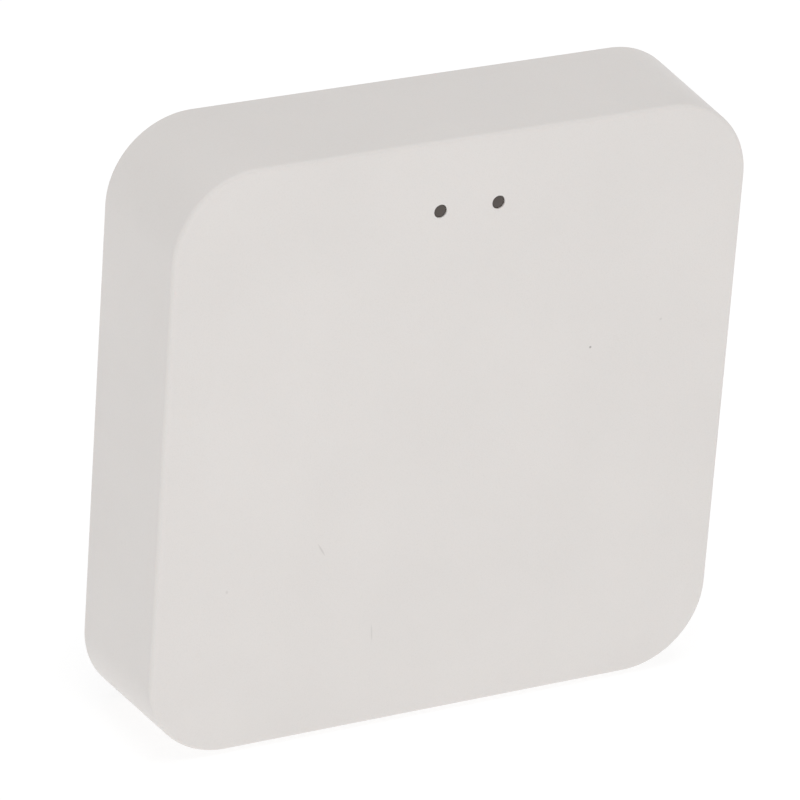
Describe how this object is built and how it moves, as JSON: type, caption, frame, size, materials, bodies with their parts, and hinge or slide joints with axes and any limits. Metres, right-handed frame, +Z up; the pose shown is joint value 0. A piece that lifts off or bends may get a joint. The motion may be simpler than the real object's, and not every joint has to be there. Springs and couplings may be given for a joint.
{
  "type": "smart home hub",
  "caption": "Square wireless gateway for smart devices: rounded white housing with smoked status light windows, a side power socket and reset button, and its electronics inside.",
  "frame": {"origin": "centre of the bottom of the hub's box: the hub stands upright on its lower side, and the origin is on the floor below its middle", "axes": "+Z up; +Y from the front face, which has the status lights, to the back with the feet; +X to the right as the front face is seen, towards the side with the power socket"},
  "size_m": [0.06, 0.015, 0.06],
  "materials": {
    "housing": "warm white, fine moulded grain",
    "rubber": "dark grey, matt",
    "label": "blank pale film, satin",
    "smoked_acrylic": "smoked, glossy",
    "foam": "black foam",
    "circuit_board": "green solder mask, satin",
    "module_board": "blue solder mask, satin",
    "tinned_steel": "tinned, semi-bright",
    "copper": "bare gilt copper",
    "black_resin": "black, fine matt",
    "ferrite": "dark grey, matt",
    "aluminium": "drawn, satin",
    "screw_steel": "zinc-plated",
    "led_resin": "clear-white resin, glossy"
  },
  "bodies": {
    "housing": {"front_cover": "housing", "back_plate": "housing", "foot_1": "rubber", "foot_2": "rubber", "foot_3": "rubber", "foot_4": "rubber", "rating_label": "label", "light_pipe": "smoked_acrylic", "light_mask": "foam", "main_board": "circuit_board", "wifi_module_board": "module_board", "zigbee_module_board": "module_board", "wifi_shield_can": "tinned_steel", "zigbee_shield_can": "tinned_steel", "crystal": "tinned_steel", "socket_shell": "tinned_steel", "switch_dome": "tinned_steel", "switch_cover": "tinned_steel", "wifi_aerial": "copper", "zigbee_aerial": "copper", "wifi_chip": "black_resin", "zigbee_chip": "black_resin", "main_processor": "black_resin", "memory_chip": "black_resin", "voltage_regulator": "black_resin", "input_fuse": "black_resin", "surge_diode": "black_resin", "can_capacitor_1_base": "black_resin", "can_capacitor_2_base": "black_resin", "socket_insulator": "black_resin", "switch_body": "black_resin", "power_inductor": "ferrite", "can_capacitor_1": "aluminium", "can_capacitor_2": "aluminium", "case_screw_1": "screw_steel", "case_screw_2": "screw_steel", "case_screw_3": "screw_steel", "case_screw_4": "screw_steel", "board_screw_1": "screw_steel", "board_screw_2": "screw_steel", "power_led": "led_resin", "network_led": "led_resin"},
    "reset_button": {"reset_button": "housing"},
    "switch_plunger": {"switch_plunger": "black_resin"}
  },
  "joints": [
    {"name": "reset_press", "type": "slide", "parent": "housing", "child": "reset_button", "axis": [-1, 0, 0], "range_m": [0, 0.0003], "stiffness_N_per_m": 500, "springref_m": -0.001},
    {"name": "switch_press", "type": "slide", "parent": "housing", "child": "switch_plunger", "axis": [-1, 0, 0], "range_m": [0, 0.0003], "deforming": ["switch_dome"]}
  ],
  "couplings": [
    {"joint": "switch_press", "follows": "reset_press", "ratio": 1}
  ]
}
